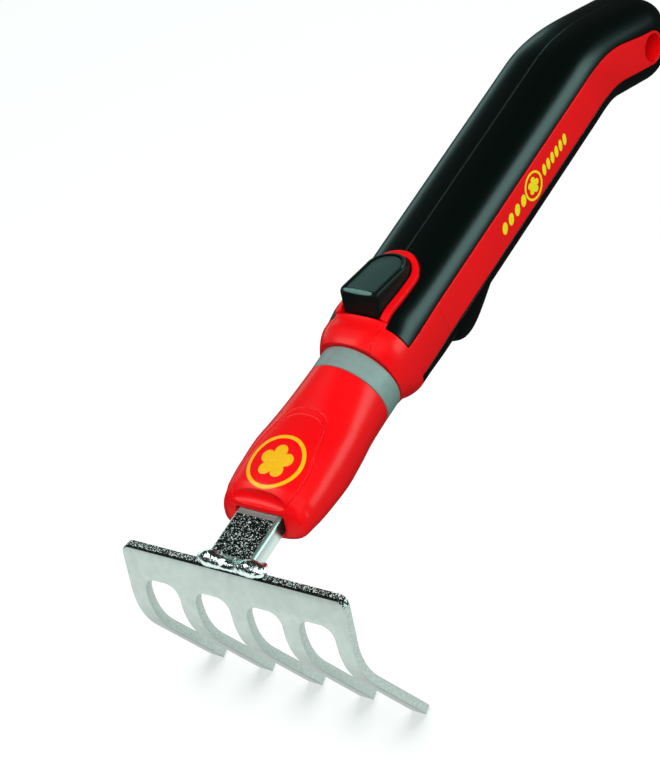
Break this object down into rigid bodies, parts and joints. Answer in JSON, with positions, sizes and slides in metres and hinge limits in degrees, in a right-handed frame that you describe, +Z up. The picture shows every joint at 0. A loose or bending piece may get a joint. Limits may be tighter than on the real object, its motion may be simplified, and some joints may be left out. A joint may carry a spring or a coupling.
{
  "type": "hand rake",
  "caption": "Short hand rake with a bowed plate head on a flat tang that unplugs from a drooping soft-grip handle by a push button.",
  "frame": {"origin": "middle of the bounding box, on the ground that the tine tips touch", "axes": "+X back along the handle from the blade to the hanging hole, +Z up on the button side, +Y to the right of a user who rakes"},
  "size_m": [0.2664, 0.085, 0.0869],
  "materials": {
    "plated_steel": "zinc plated, satin, bright on the rounded edges",
    "weld": "plated weld bead, lumpy and bright",
    "steel": "plain bright steel",
    "red_plastic": "glossy moulded red plastic",
    "grey_plastic": "satin moulded grey plastic",
    "dark_plastic": "plain dark moulded plastic",
    "grip_rubber": "matt black soft grip rubber",
    "black_plastic": "fine-textured black plastic"
  },
  "bodies": {
    "handle": {"socket_sleeve": "grey_plastic", "handle_shell_left": "red_plastic", "handle_shell_right": "red_plastic", "nose_cover": "red_plastic", "grip_upper_left": "grip_rubber", "grip_upper_right": "grip_rubber", "grip_lower_left": "grip_rubber", "grip_lower_right": "grip_rubber", "button_pin": "steel", "button_spring": "steel", "shell_screw_1": "steel", "shell_screw_2": "steel", "shell_screw_3": "steel", "shell_screw_4": "steel"},
    "head": {"rake_blade": "plated_steel", "tang": "plated_steel", "weld_bead": "weld", "head_shell": "red_plastic", "tang_pin": "steel", "head_spigot": "dark_plastic", "latch_spring": "steel", "latch_rivet": "steel"},
    "button": {"release_button": "black_plastic", "button_pad": "black_plastic"}
  },
  "joints": [
    {"name": "head_release", "type": "slide", "parent": "handle", "child": "head", "axis": [-1, 0, 0], "range_m": [0, 0.055], "deforming": ["latch_spring"]},
    {"name": "button_press", "type": "hinge", "parent": "handle", "child": "button", "pos_m": [-0.01624, 0, 0.07755], "axis": [0, -1, 0], "range_deg": [0, 7], "stiffness_Nm_per_rad": 0.6, "springref_deg": -5.73, "deforming": ["button_spring"]}
  ]
}
